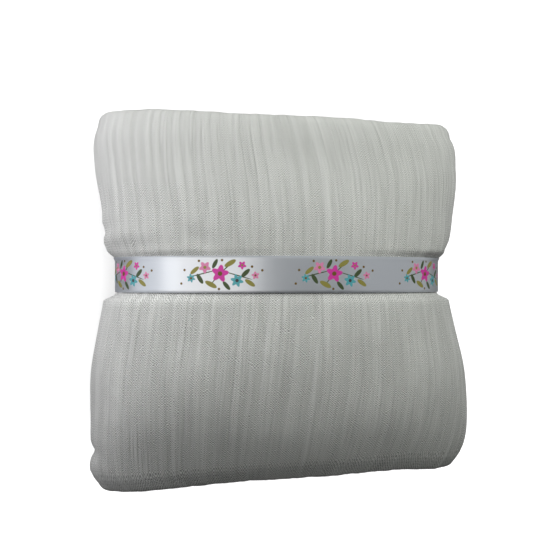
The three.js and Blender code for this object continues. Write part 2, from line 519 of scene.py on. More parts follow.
@dataclass
class Blanket:
    """The muslin sheet, folded in half twice and wound up in three turns."""

    form: RollForm
    crinkles: Crinkles = field(default_factory=Crinkles)
    slant: GrainSlant = field(default_factory=GrainSlant)
    name: str = "muslin_blanket"
    flat_size: Pair = (1.0, 1.2)
    # the layers of the strip, their pitch in the roll, and the share of it that the cloth fills
    layers: int = 4
    pitch: float = 5.3 * MM
    fill: float = 0.8
    # the loose end's share of the step and its rise, the degrees over which the strip steps in
    # before and after it, and how thin the strip is where it ends in the core
    loose_end_share: float = 0.2
    loose_end_rise: float = 1.5 * MM
    tuck_before: float = 9.0
    tuck_after: float = 26.0
    core_end_share: float = 0.3
    # the rims: how far the inner turns creep back, and the height, spacing and seed of each wave
    creep: float = 0.8 * MM
    crest_waves: tuple[tuple[float, float, int], ...] = ((0.5 * MM, 0.09, 3), (0.25 * MM, 0.021, 5))
    # the hems at the upper end: how far under the crest they lie, and their waves
    hem_drops: Pair = (3.6 * MM, 2.2 * MM)
    hem_seeds: tuple[int, int] = (7, 8)
    hem_wave: float = 0.8 * MM
    hem_wave_spacing: float = 0.06
    # how square the lower corners are, and how round and thin the two cut ends
    corner_squareness: float = 0.4
    cut_round: float = 0.9 * MM
    cut_least: float = 0.12
    # where the crinkles fade: at the rims along the roll, in degrees wound from the loose end, in
    # shares round a fold, and where the strip grows thin
    rim_calm: float = 0.55
    upper_rim: Pair = (78.0 * MM, 104.0 * MM)
    lower_rim: Pair = (98.0 * MM, 114.0 * MM)
    calm_turns: Pair = (385.0, 400.0)
    calm_fold: Pair = (0.55, 0.95)
    thin_gain: float = 1.6
    # the columns along the winding: the step in degrees and the y at which its length is measured,
    # then where the columns stand at the loose end's hem and how close they are after it
    turn_step: float = 0.25
    measured_at: float = -0.05
    hem_columns: tuple[float, ...] = tuple(v * MM for v in (0.0, 0.4, 1.2, 3.2, 5.2, 7.2, 9.2, 12.0))
    face_step: float = 5.0 * MM
    face_parts: int = 4
    crest_parts: int = 2
    # the lines across the strip: their places in a hidden layer, and in the face from where to
    # where and in how many parts
    hidden_rows: tuple[float, ...] = (0.0, 1 / 3, 2 / 3, 1.0, 1.15, 1.7, 2.0, 2.5, LAYER_TOP)
    face_rows: tuple[tuple[float, float, int], ...] = (
        (0.0, 1.0, 32),
        (1.0, 1.15, 4),
        (1.15, 1.7, 2),
        (1.7, 2.0, 8),
        (2.0, LAYER_TOP, 23),
    )
    # about where a layer ends along the roll, how wide a layer and a fold are in the flat blanket,
    # and how far round a hem its two lines are
    layer_ends: Pair = (-102.5 * MM, 105.5 * MM)
    layer_span: float = 0.225
    fold_span: float = 0.025
    hem_side: float = 0.4

    @property
    def thickness(self) -> float:
        """The cloth's own thickness."""
        return self.fill * self.pitch

    @property
    def sections(self) -> tuple[Section, ...]:
        """The strip's cross-section in order, from one hem to the other."""
        wrap = Section((3, 0), End.LOWER, outer_length=13.0 * MM, inner_length=8.6 * MM, parts=(14, 7))
        fold = Section((0, 1), End.UPPER, outer_length=7.5 * MM, inner_length=3.4 * MM, parts=(10, 5))
        tuck = Section((1, 2), End.LOWER, face_outside=False, outer_length=6.2 * MM, inner_length=2.0 * MM)
        return (
            Section((3,), upward=False),
            wrap,
            Section((0,), upward=True),
            fold,
            Section((1,), upward=False),
            tuck,
            Section((2,), upward=True),
        )

    def tuck(self, turn: np.ndarray) -> np.ndarray:
        """How far the strip has stepped inwards, as it passes under its own loose end."""
        before = smoothstep(turn, -self.tuck_before, 0.0)
        after = smoothstep(turn, 0.0, self.tuck_after)
        return self.loose_end_share * before + (1.0 - self.loose_end_share) * after

    def strip_at(self, turn: np.ndarray) -> tuple[np.ndarray, np.ndarray]:
        """Where the strip lies in the roll.

        Args:
            turn: Degrees wound from the loose end.

        Returns:
            The depth of its outer face and its thickness, both in full turns.
        """
        full = self.layers * self.pitch
        rise = self.loose_end_rise / full * (1.0 - smoothstep(turn, 0.0, self.tuck_after))
        depth = sum(self.tuck(turn - 360.0 * k) for k in range(1, self.form.turns + 1)) - rise
        share = np.minimum(self.tuck(turn) + rise, self.form.turns - depth)
        return depth, share

    def lay_columns(self) -> Columns:
        """Spaces the columns evenly along the cloth, closer at the loose end's hem.

        Returns:
            The columns, from the loose end to the core.
        """
        last = 360.0 * self.form.turns + self.tuck_after
        turn = np.arange(0.0, last, self.turn_step)
        depth, share = self.strip_at(turn)
        keep = share >= self.core_end_share * (turn > 360.0)
        turn, depth = turn[keep], depth[keep]
        share_of_core = np.clip(depth / self.form.turns, 0.0, 1.0)
        angle = self.form.loose_edge - turn
        points = self.form.place(angle, np.full_like(turn, self.measured_at), share_of_core)
        steps = np.linalg.norm(np.diff(points, axis=0), axis=1)
        length = np.concatenate([[0.0], np.cumsum(steps)])
        hem_end = self.hem_columns[-1]
        count = int((length[-1] - hem_end) / self.face_step)
        majors = np.concatenate([self.hem_columns[:-1], np.linspace(hem_end, length[-1], count)])
        outer = float(np.interp(360.0 + self.tuck_after, turn, length))
        places, starts = [], []
        for low, high in zip(majors[:-1], majors[1:]):
            starts.append(len(places))
            parts = self.face_parts if low < outer else self.crest_parts
            places += [low + (high - low) * part / parts for part in range(parts)]
        starts.append(len(places))
        places.append(majors[-1])
        turns = np.interp(places, length, turn)
        depth, share = self.strip_at(turns)
        return Columns(turns, depth, share, np.array(places), starts)

    def line_round(self) -> list[LinePoint]:
        """The closed line round the cloth's cross-section.

        Returns:
            Its points: the outer face from hem to hem, the one hem, the inner face back, the other.
        """
        fine = []
        for low, high, parts in self.face_rows:
            fine += [*np.linspace(low, high, parts, endpoint=False)]
        fine.append(LAYER_TOP)
        marks = np.array([self.layer_ends[0], *self.form.seat_limits, self.layer_ends[1]])
        shares = (marks - marks[0]) / (marks[-1] - marks[0])
        face, back = [], []
        start = 0.0
        for number, section in enumerate(self.sections):
            if section.end is None:
                span = self.layer_span
                outside = fine if section.layers == (0,) else self.hidden_rows
                kind = Fineness.FACE if section.layers == (0,) else Fineness.HIDDEN
                lines = [(face, outside, 1.0, kind), (back, self.hidden_rows, -1.0, Fineness.HIDDEN)]
                for target, places, side, fineness in lines:
                    for t in places:
                        run = float(np.interp(t, (0, 1, 2, LAYER_TOP), shares))
                        run = run if section.upward else 1.0 - run
                        target.append(LinePoint(number, float(t), side, fineness, start + span * run))
            else:
                span = self.fold_span
                kind = Fineness.CREST if section.face_outside else Fineness.HIDDEN
                outer, inner = section.parts
                lines = [(face, outer, 1.0, kind), (back, inner, -1.0, Fineness.HIDDEN)]
                for target, count, side, fineness in lines:
                    for step in range(1, count):
                        t = step / count
                        target.append(LinePoint(number, t, side, fineness, start + span * t))
            start += span
        face.sort(key=lambda point: point.path)
        back.sort(key=lambda point: -point.path)
        first, last = (
            [LinePoint(hem.section, LAYER_TOP, side, Fineness.HIDDEN, hem.path) for side in sides]
            for hem, sides in (
                (back[0], (self.hem_side, -self.hem_side)),
                (face[0], (-self.hem_side, self.hem_side)),
            )
        )
        return face + first + back + last

    def cross_section(self, point: LinePoint, columns: Columns, crinkle: np.ndarray) -> tuple:
        """Draws one line of the cloth along the winding.

        Args:
            point: The point of the cross-section.
            columns: The places along the winding.
            crinkle: How far the crinkles lift the cloth there.

        Returns:
            The y of each point, and its depth under the strip's outer face.
        """
        section = self.sections[point.section]
        half = self.thickness / 2
        share = columns.share
        lower, upper = self.fold_lines(columns)
        if section.end is None:
            layer = section.layers[0]
            top = upper[layer]
            low, high = self.form.seat_limits
            y = np.where(point.t <= 1, lower + (low - lower) * point.t, low + (high - low) * (point.t - 1))
            y = np.where(point.t > 2, high + (top - high) * (point.t - 2), y)
            outwards = 1.0 if section.upward else -1.0
            if abs(point.side) < 1:
                y = y + half * share * math.sqrt(1 - point.side**2)
            depth = half + layer * self.pitch - outwards * point.side * half
            return y, depth * share - outwards * point.side * crinkle
        first, second = section.layers
        middle = half + (first + second) / 2 * self.pitch
        outside = (point.side > 0) == section.face_outside
        radius = abs(second - first) / 2 * self.pitch + (half if outside else -half)
        length = section.outer_length if outside else section.inner_length
        turn = math.pi * point.t
        start = 1.0 if first > second else -1.0
        lift = crinkle if outside else np.zeros_like(crinkle)
        stretch = np.sqrt(share)
        norm = math.hypot(math.cos(turn) / radius, math.sin(turn) / length)
        across = math.cos(turn) / radius / norm
        along = math.sin(turn) / length / norm
        power = self.fold_power(section, columns)
        cosine = math.copysign(1.0, math.cos(turn)) * abs(math.cos(turn)) ** power
        depth = (middle + start * radius * cosine) * share + start * across * lift
        reach = length * math.sin(turn) ** power * stretch + along * lift
        base = lower if section.end is End.LOWER else upper[0]
        return base + section.end.value * reach, depth

    def fold_power(self, section: Section, columns: Columns) -> np.ndarray:
        """How round a fold is. The roll's lower corners are squarer.

        Args:
            section: The fold.
            columns: The places along the winding.

        Returns:
            1 at each column where the fold is oval, and less where it is squarer.
        """
        side = np.cos(np.radians(self.form.loose_edge - columns.turn)) ** 2
        return 1.0 - self.corner_squareness * side * (section.end is End.LOWER)

    def fold_lines(self, columns: Columns) -> tuple[np.ndarray, list[np.ndarray]]:
        """Where the layers end along the roll, and their folds begin.

        Args:
            columns: The places along the winding.

        Returns:
            The lower line, which all layers share, and the upper line of each layer.
        """
        angle = self.form.loose_edge - columns.turn
        turn = np.radians(angle)
        creep = self.creep * columns.depth * (1.0 + np.sin(turn + columns.depth))
        stretch = np.sqrt(columns.share)
        wrap, fold = self.sections[1], self.sections[3]
        slow, quick = (
            height * uneven(columns.length, spacing, seed) for height, spacing, seed in self.crest_waves
        )
        low_crest = self.form.end_reach(angle, End.LOWER) - creep + slow + quick
        high_crest = self.form.end_reach(angle, End.UPPER) - creep + slow - quick
        lower = -(low_crest - wrap.outer_length * stretch)
        folded = high_crest - fold.outer_length * stretch
        hems = []
        for drop, seed in zip(self.hem_drops, self.hem_seeds):
            wave = self.hem_wave * uneven(columns.length, self.hem_wave_spacing, seed)
            hems.append(high_crest - drop - self.thickness / 2 + wave)
        return lower, [folded, folded, *hems]

    def grain_place(self, columns: Columns, y: np.ndarray) -> np.ndarray:
        """The distance along the cloth, counted on its slanted grain.

        Args:
            columns: The places along the winding.
            y: The place along the roll at each of them.

        Returns:
            The distance from the loose end at which each grain line starts.
        """
        return columns.length + self.slant.shift(self.form.loose_edge - columns.turn, y)

    def crinkle_lifts(self, line: list[LinePoint], columns: Columns) -> np.ndarray:
        """How far the crinkles lift the cloth.

        Args:
            line: The closed line round the cloth's cross-section.
            columns: The places along the winding.

        Returns:
            The lift of each point of the line, in a row, at each column.
        """
        lifts = np.zeros((len(line), len(columns.turn)))
        shown = [n for n, point in enumerate(line) if point.fineness is not Fineness.HIDDEN]
        rows = np.stack([self.cross_section(line[n], columns, 0.0 * columns.turn)[0] for n in shown])
        grain = np.stack([self.grain_place(columns, y) for y in rows])
        heights = self.crinkles.height(grain, rows)
        for n, height, y in zip(shown, heights, rows):
            point = line[n]
            weight = 1.0 - self.form.seat_share(y)
            near_rim = smoothstep(y, *self.upper_rim) + smoothstep(-y, *self.lower_rim)
            weight *= 1.0 - self.rim_calm * near_rim
            if point.fineness is Fineness.FACE:
                weight *= 1.0 - smoothstep(columns.turn, *self.calm_turns)
            else:
                first, second = self.sections[point.section].layers
                hidden = point.t if first < second else 1.0 - point.t
                weight *= 1.0 - smoothstep(np.array(hidden), *self.calm_fold)
            lifts[n] = height * weight * np.minimum(columns.share * self.thin_gain, 1.0)
        return lifts

    def build(self) -> bpy.types.Object:
        """Makes the sheet's mesh, a closed skin round the folded and wound cloth.

        Returns:
            The new object.
        """
        columns = self.lay_columns()
        line = self.line_round()
        angle = self.form.loose_edge - columns.turn
        vertices, places, numbers = [], [], []
        used = self.used_columns(columns)
        edge = self.edge_rounding(columns)
        total = 0
        for point, lift in zip(line, self.crinkle_lifts(line, columns)):
            at = used[point.fineness]
            y, depth = self.cross_section(point, columns, lift)
            middle = (self.thickness / 2 + self.layer_of(point) * self.pitch) * columns.share
            depth = middle + (depth - middle) * edge
            share = columns.depth / self.form.turns + depth / (self.layers * self.pitch * self.form.turns)
            spot = self.form.place(angle[at], y[at], share[at])
            number = np.full(len(angle), -1)
            number[at] = np.arange(total, total + len(at))
            total += len(at)
            numbers.append(number)
            vertices.append(spot)
            grain = self.grain_place(columns, y)
            places.append(np.stack([grain[at], np.full(len(at), point.path)], axis=-1))
        faces = self.skin(line, numbers, columns) + self.caps(line, numbers, columns)
        return new_piece(self.name, np.concatenate(vertices), faces, np.concatenate(places))

    def layer_of(self, point: LinePoint) -> float:
        """The layer that a point of the cross-section belongs to, or the middle of its fold."""
        layers = self.sections[point.section].layers
        return sum(layers) / len(layers)

    def edge_rounding(self, columns: Columns) -> np.ndarray:
        """1 along the cloth, and less at its two cut ends, which are rounded over."""
        first = columns.length
        last = columns.length[-1] - columns.length
        near = np.clip(np.minimum(first, last) / self.cut_round, 0.0, 1.0)
        return np.sqrt(np.clip(1.0 - (1.0 - near) ** 2, self.cut_least, 1.0))

    def used_columns(self, columns: Columns) -> dict[Fineness, np.ndarray]:
        """Which columns each kind of line has its points at."""
        every = np.arange(len(columns.turn))
        majors = np.array(columns.starts)
        outer = [n for n in every if n < self.last_fine(columns)]
        face = np.array(sorted(set(outer) | set(columns.starts)))
        return {Fineness.HIDDEN: majors, Fineness.FACE: face, Fineness.CREST: every}

    def last_fine(self, columns: Columns) -> int:
        """The number of the column where the outer turn's fine division ends."""
        gaps = np.diff(columns.starts)
        fine = int(np.sum(gaps == self.face_parts))
        return columns.starts[fine]

    def skin(self, line: list[LinePoint], numbers: list[np.ndarray], columns: Columns) -> list:
        """The faces between each line of the cross-section and the next.

        Args:
            line: The closed line round the cross-section; not used.
            numbers: The vertex numbers of each line, by column.
            columns: The places along the winding.

        Returns:
            The faces, as lists of vertex numbers.
        """
        faces = []
        for here, first in enumerate(numbers):
            second = numbers[(here + 1) % len(numbers)]
            for low, high in zip(columns.starts[:-1], columns.starts[1:]):
                a = [n for n in first[low : high + 1] if n >= 0]
                b = [n for n in second[low : high + 1] if n >= 0]
                if len(a) == len(b):
                    faces += [[a[i], a[i + 1], b[i + 1], b[i]] for i in range(len(a) - 1)]
                    continue
                small, large = (a, b) if len(a) < len(b) else (b, a)
                ratio = (len(large) - 1) // (len(small) - 1)
                for i in range(len(small) - 1):
                    part = large[i * ratio : (i + 1) * ratio + 1]
                    if small is a:
                        faces.append([small[i], small[i + 1], *reversed(part)])
                    else:
                        faces.append([*part, small[i + 1], small[i]])
        return faces

    def caps(self, line: list[LinePoint], numbers: list[np.ndarray], columns: Columns) -> list:
        """The faces that close the cloth at its loose end and in the core.

        Args:
            line: The closed line round the cross-section.
            numbers: The vertex numbers of each line, by column.
            columns: The places along the winding.

        Returns:
            The faces, as lists of vertex numbers.
        """
        face = [i for i, point in enumerate(line) if point.side == 1.0]
        back = [i for i, point in enumerate(line) if point.side == -1.0][::-1]
        paths = sorted({line[i].path for i in face} & {line[i].path for i in back})
        rings = []
        for low, high in zip(paths[:-1], paths[1:]):
            up, down = (
                [i for i in side if low - SAME_PATH <= line[i].path <= high + SAME_PATH]
                for side in (face, back)
            )
            rings.append(up + down[::-1])
        count = len(line)
        hem = face[-1]
        rings.append([hem, hem + 1, hem + 2, hem + 3])
        rings.append([count - 3, count - 2, count - 1, 0])
        first, last = 0, len(columns.turn) - 1
        faces = [[int(numbers[i][first]) for i in ring] for ring in rings]
        faces += [[int(numbers[i][last]) for i in reversed(ring)] for ring in rings]
        return faces


def new_piece(name: str, vertices: np.ndarray, faces: list, places: np.ndarray) -> bpy.types.Object:
    """Makes an object of a smooth mesh with a cloth map.

    Args:
        name: The piece's name.
        vertices: Its points.
        faces: Its faces, as lists of vertex numbers.
        places: For each point, where it lies on the flat cloth.

    Returns:
        The new object, linked to the scene.
    """
    mesh = bpy.data.meshes.new(name)
    mesh.from_pydata([tuple(v) for v in vertices.tolist()], [], faces)
    corners = np.zeros(len(mesh.loops), dtype=np.int32)
    mesh.loops.foreach_get("vertex_index", corners)
    layer = mesh.uv_layers.new(name="cloth")
    layer.data.foreach_set("uv", places[corners].astype(np.float32).ravel())
    mesh.polygons.foreach_set("use_smooth", np.ones(len(mesh.polygons), dtype=bool))
    mesh.update()
    mesh.validate()
    piece = bpy.data.objects.new(name, mesh)
    bpy.context.scene.collection.objects.link(piece)
    return piece


@dataclass
class Ribbon:
    """The satin ribbon round the waist, its ends joined at the back."""

    form: RollForm
    name: str = "satin_ribbon"
    thickness: float = 0.3 * MM
    lift: float = 0.22 * MM
    step: float = 0.42 * MM
    join_angle: float = 268.0
    overlap: float = 9.0
    climb: float = 26.0
    measured_parts: int = 3000
    parts_round: int = 760
    parts_across: int = 12
    edge_taper: float = 0.45
    taper_power: int = 8

    @property
    def flat_size(self) -> tuple[float, float]:
        """The length and width it was cut to."""
        return self.length, self.form.ribbon_width

    @property
    def length(self) -> float:
        """Its whole length, with the overlap."""
        return float(self.run()[1][-1])

    def run(self) -> tuple[np.ndarray, np.ndarray]:
        """The way round the roll.

        Returns:
            Degrees from the inner end, and the length up to there.
        """
        turn = np.linspace(0.0, 360.0 + self.overlap, self.measured_parts)
        points = self.place(turn, np.zeros_like(turn), np.zeros_like(turn))
        steps = np.linalg.norm(np.diff(points, axis=0), axis=1)
        return turn, np.concatenate([[0.0], np.cumsum(steps)])

    def place(self, turn: np.ndarray, across: np.ndarray, height: np.ndarray) -> np.ndarray:
        """Points on or in the ribbon.

        Args:
            turn: Degrees from the inner end.
            across: From -1 at the lower edge to 1 at the upper edge.
            height: From 0 on its underside to 1 on its upper side.

        Returns:
            An array with the x, y and z of each point in its last dimension.
        """
        angle = self.join_angle + self.overlap / 2 + 360.0 - turn
        lift = self.lift + self.step * smoothstep(turn, self.overlap, self.overlap + self.climb)
        taper = 1.0 - self.edge_taper * np.abs(across) ** self.taper_power
        lift = lift + self.thickness * (0.5 + (height - 0.5) * taper)
        y = self.form.ribbon_y + across * self.form.ribbon_width / 2
        x, z = self.form.face(angle, y, -lift)
        return np.stack(np.broadcast_arrays(x, y, z), axis=-1) + np.array(self.form.middle)

    def build(self) -> bpy.types.Object:
        """Makes the ribbon's mesh.

        Returns:
            The new object.
        """
        turns, lengths = self.run()
        places = np.linspace(0.0, lengths[-1], self.parts_round + 1)
        turn = np.interp(places, lengths, turns)
        rise = np.linspace(-1.0, 1.0, self.parts_across + 1)
        across = np.concatenate([rise, rise[::-1]])
        height = np.concatenate([np.ones_like(rise), np.zeros_like(rise)])
        count = len(across)
        grid = self.place(turn[:, None], across[None, :], height[None, :])
        width = np.broadcast_to((across + 1.0) / 2 * self.form.ribbon_width, grid.shape[:2])
        run = np.broadcast_to(places[:, None], grid.shape[:2])
        faces = []
        for row in range(len(turn) - 1):
            for i in range(count):
                a, b = row * count + i, row * count + (i + 1) % count
                faces.append([a, a + count, b + count, b])
        last = (len(turn) - 1) * count
        for i in range(self.parts_across):
            j = count - 1 - i
            faces.append([i, i + 1, j - 1, j])
            faces.append([last + j, last + j - 1, last + i + 1, last + i])
        map_places = np.stack([run, width], axis=-1).reshape(-1, 2)
        return new_piece(self.name, grid.reshape(-1, 3), faces, map_places)


class Nodes:
    """Adds nodes to a material or a node group, and joins them."""

    def __init__(self, tree: bpy.types.NodeTree) -> None:
        """Keeps the tree that the nodes go into."""
        self.tree = tree

    def join(self, socket: bpy.types.NodeSocket, value: object) -> None:
        """Gives a socket its value, or the output that feeds it."""
        if isinstance(value, bpy.types.NodeSocket):
            self.tree.links.new(value, socket)
        else:
            socket.default_value = value

    def feed(self, node: bpy.types.Node, inputs: dict) -> None:
        """Gives a node's sockets their values, or the outputs that feed them."""
        for name, value in inputs.items():
            self.join(node.inputs[name], value)

    def add(self, kind: str, inputs: dict, **settings: object) -> bpy.types.Node:
        """Adds one node.

        Args:
            kind: The node's type, without the word that all shader nodes start with.
            inputs: The value or the output for each socket, by the socket's name or number.
            settings: The node's own settings.

        Returns:
            The new node.
        """
        node = self.tree.nodes.new("ShaderNode" + kind)
        for name, value in settings.items():
            setattr(node, name, value)
        self.feed(node, inputs)
        return node

    def math(self, operation: str, *values: object) -> bpy.types.NodeSocket:
        """Adds one sum, and gives its output."""
        return self.add("Math", dict(enumerate(values)), operation=operation).outputs[0]

    def blend(self, share: object, first: object, second: object) -> bpy.types.NodeSocket:
        """Mixes two colours.

        Args:
            share: The share of the second colour.
            first: The first colour.
            second: The second colour.

        Returns:
            The mixed colour.
        """
        node = self.add("Mix", {0: share, 6: first, 7: second}, data_type="RGBA", clamp_factor=True)
        return node.outputs[2]

    def ease(self, value: object, low: object, high: object) -> bpy.types.NodeSocket:
        """A smooth rise from 0 at low to 1 at high."""
        inputs = {"Value": value, "From Min": low, "From Max": high}
        return self.add("MapRange", inputs, interpolation_type="SMOOTHSTEP").outputs[0]

    def noise(self, place: object, scale: float, detail: float = 2.0) -> bpy.types.NodeSocket:
        """A cloudy pattern from 0 to 1."""
        inputs = {"Vector": place, "Scale": scale, "Detail": detail}
        return self.add("TexNoise", inputs).outputs[0]

    def stretched(self, place: object, scale: Triple) -> bpy.types.NodeSocket:
        """Scales a place along each of its axes."""
        return self.add("Mapping", {"Vector": place, "Scale": scale}).outputs[0]

    def relief(self, height: bpy.types.NodeSocket) -> bpy.types.NodeSocket:
        """The normal of a surface that stands proud by a height in metres."""
        return self.add("Bump", {"Height": height, "Distance": 1.0, "Strength": 1.0}).outputs[0]


def new_group(name: str, inputs: dict[str, object], outputs: dict[str, str]) -> tuple:
    """Starts a node group.

    Args:
        name: The group's name.
        inputs: The value that each input has unless it is joined; None makes a vector.
        outputs: The type of each output.

    Returns:
        The group, its nodes, and the nodes at which it starts and ends.
    """
    group = bpy.data.node_groups.new(name, "ShaderNodeTree")
    for title, value in inputs.items():
        kind = "NodeSocketVector" if value is None else "NodeSocketFloat"
        socket = group.interface.new_socket(title, in_out="INPUT", socket_type=kind)
        if value is not None:
            socket.default_value = value
    for title, kind in outputs.items():
        group.interface.new_socket(title, in_out="OUTPUT", socket_type="NodeSocket" + kind)
    nodes = Nodes(group)
    return group, nodes, group.nodes.new("NodeGroupInput"), group.nodes.new("NodeGroupOutput")


def new_material(name: str) -> tuple:
    """Starts a material.

    Args:
        name: The material's name.

    Returns:
        The material, its nodes and its shader.
    """
    material = bpy.data.materials.new(name)
    material.use_nodes = True
    nodes = Nodes(material.node_tree)
    return material, nodes, material.node_tree.nodes["Principled BSDF"]


@dataclass(frozen=True)
class GauzeWeave:
    """Loose threads that pass over and under each other, with small gaps between them.

    A scale is in crests for each metre along the cloth, across it and through it.
    """

    warp_scale: Triple = (230.0, 150.0, 1.0)
    weft_scale: Triple = (190.0, 170.0, 1.0)
    rib_share: float = 0.18
    patch_scale: Triple = (160.0, 60.0, 1.0)
    patch_range: Pair = (0.3, 0.7)
    patch_strength: float = 0.95
    least_strength: float = 0.4
    calm_range: Pair = (0.385, 0.455)
    calm_share: float = 0.42
    gap_level: float = 0.47
    gap_change: float = 1.3

    def make(self) -> bpy.types.NodeTree:
        """Builds the node group.

        Returns:
            A group that turns a place on the cloth into a height and a share of gap.
        """
        inputs = {"Place": None, "Warp Spacing": MM, "Weft Spacing": MM, "Wander": 1.0}
        group, nodes, start, end = new_group("gauze_weave", inputs, {"Height": "Float", "Gap": "Float"})
        place, warp, weft, wander = start.outputs[:4]
        split = nodes.add("SeparateXYZ", {"Vector": place})
        waves = []
        for axis, spacing, scale in ((0, warp, self.warp_scale), (1, weft, self.weft_scale)):
            cloud = nodes.noise(nodes.stretched(place, scale), 1.0)
            shift = nodes.math("MULTIPLY", nodes.math("SUBTRACT", cloud, 0.5), wander)
            count = nodes.math("ADD", nodes.math("DIVIDE", split.outputs[axis], spacing), shift)
            waves.append(nodes.math("SINE", nodes.math("MULTIPLY", count, math.tau)))
        checks = nodes.math("MULTIPLY", nodes.math("MULTIPLY", *waves), 1.0 - self.rib_share)
        ribs = nodes.math("MULTIPLY_ADD", waves[1], self.rib_share, checks)
        patch = nodes.noise(nodes.stretched(place, self.patch_scale), 1.0, 3.0)
        patch = nodes.ease(patch, *self.patch_range)
        strength = nodes.math("MULTIPLY_ADD", patch, self.patch_strength, self.least_strength)
        calm = nodes.ease(split.outputs[1], *self.calm_range)
        loose = nodes.math("MULTIPLY_ADD", calm, -self.calm_share, 1.0)
        height = nodes.math("MULTIPLY", ribs, nodes.math("MULTIPLY", strength, loose))
        # the share of gap sets painted shade between the threads in the muslin's colour, and also its
        # roughness there
        gap = nodes.math("MULTIPLY_ADD", height, -self.gap_change, self.gap_level)
        nodes.feed(end, {"Height": height, "Gap": gap})
        return group


@dataclass(frozen=True)
class FineFurrows:
    """Narrow furrows with soft pillows between them, long across the cloth."""

    drift: float = 0.7
    drift_scale: Triple = (14.0, 22.0, 1.0)
    detail: float = 1.5
    ridge_gain: float = 3.2
    ridge_power: float = 0.55

    def make(self) -> bpy.types.NodeTree:
        """Builds the node group.

        Returns:
            A group that turns a place on the cloth into a height.
        """
        inputs = {"Place": None, "Per Metre": 1.0, "Length": 1.0}
        group, nodes, start, end = new_group("crinkle_lines", inputs, {"Height": "Float"})
        place, rate, length = start.outputs[:3]
        split = nodes.add("SeparateXYZ", {"Vector": place})
        slow = nodes.math("MULTIPLY", split.outputs[1], nodes.math("DIVIDE", rate, length))
        drift = nodes.noise(nodes.stretched(place, self.drift_scale), 1.0, 1.0)
        quick = nodes.math("MULTIPLY", split.outputs[0], rate)
        quick = nodes.math("ADD", quick, nodes.math("MULTIPLY", drift, self.drift))
        spot = nodes.add("CombineXYZ", {"X": quick, "Y": slow}).outputs[0]
        cloud = nodes.noise(spot, 1.0, self.detail)
        ridge = nodes.math("ABSOLUTE", nodes.math("MULTIPLY_ADD", cloud, 2.0, -1.0))
        ridge = nodes.math("MINIMUM", nodes.math("MULTIPLY", ridge, self.ridge_gain), 1.0)
        nodes.feed(end, {"Height": nodes.math("POWER", ridge, self.ridge_power)})
        return group


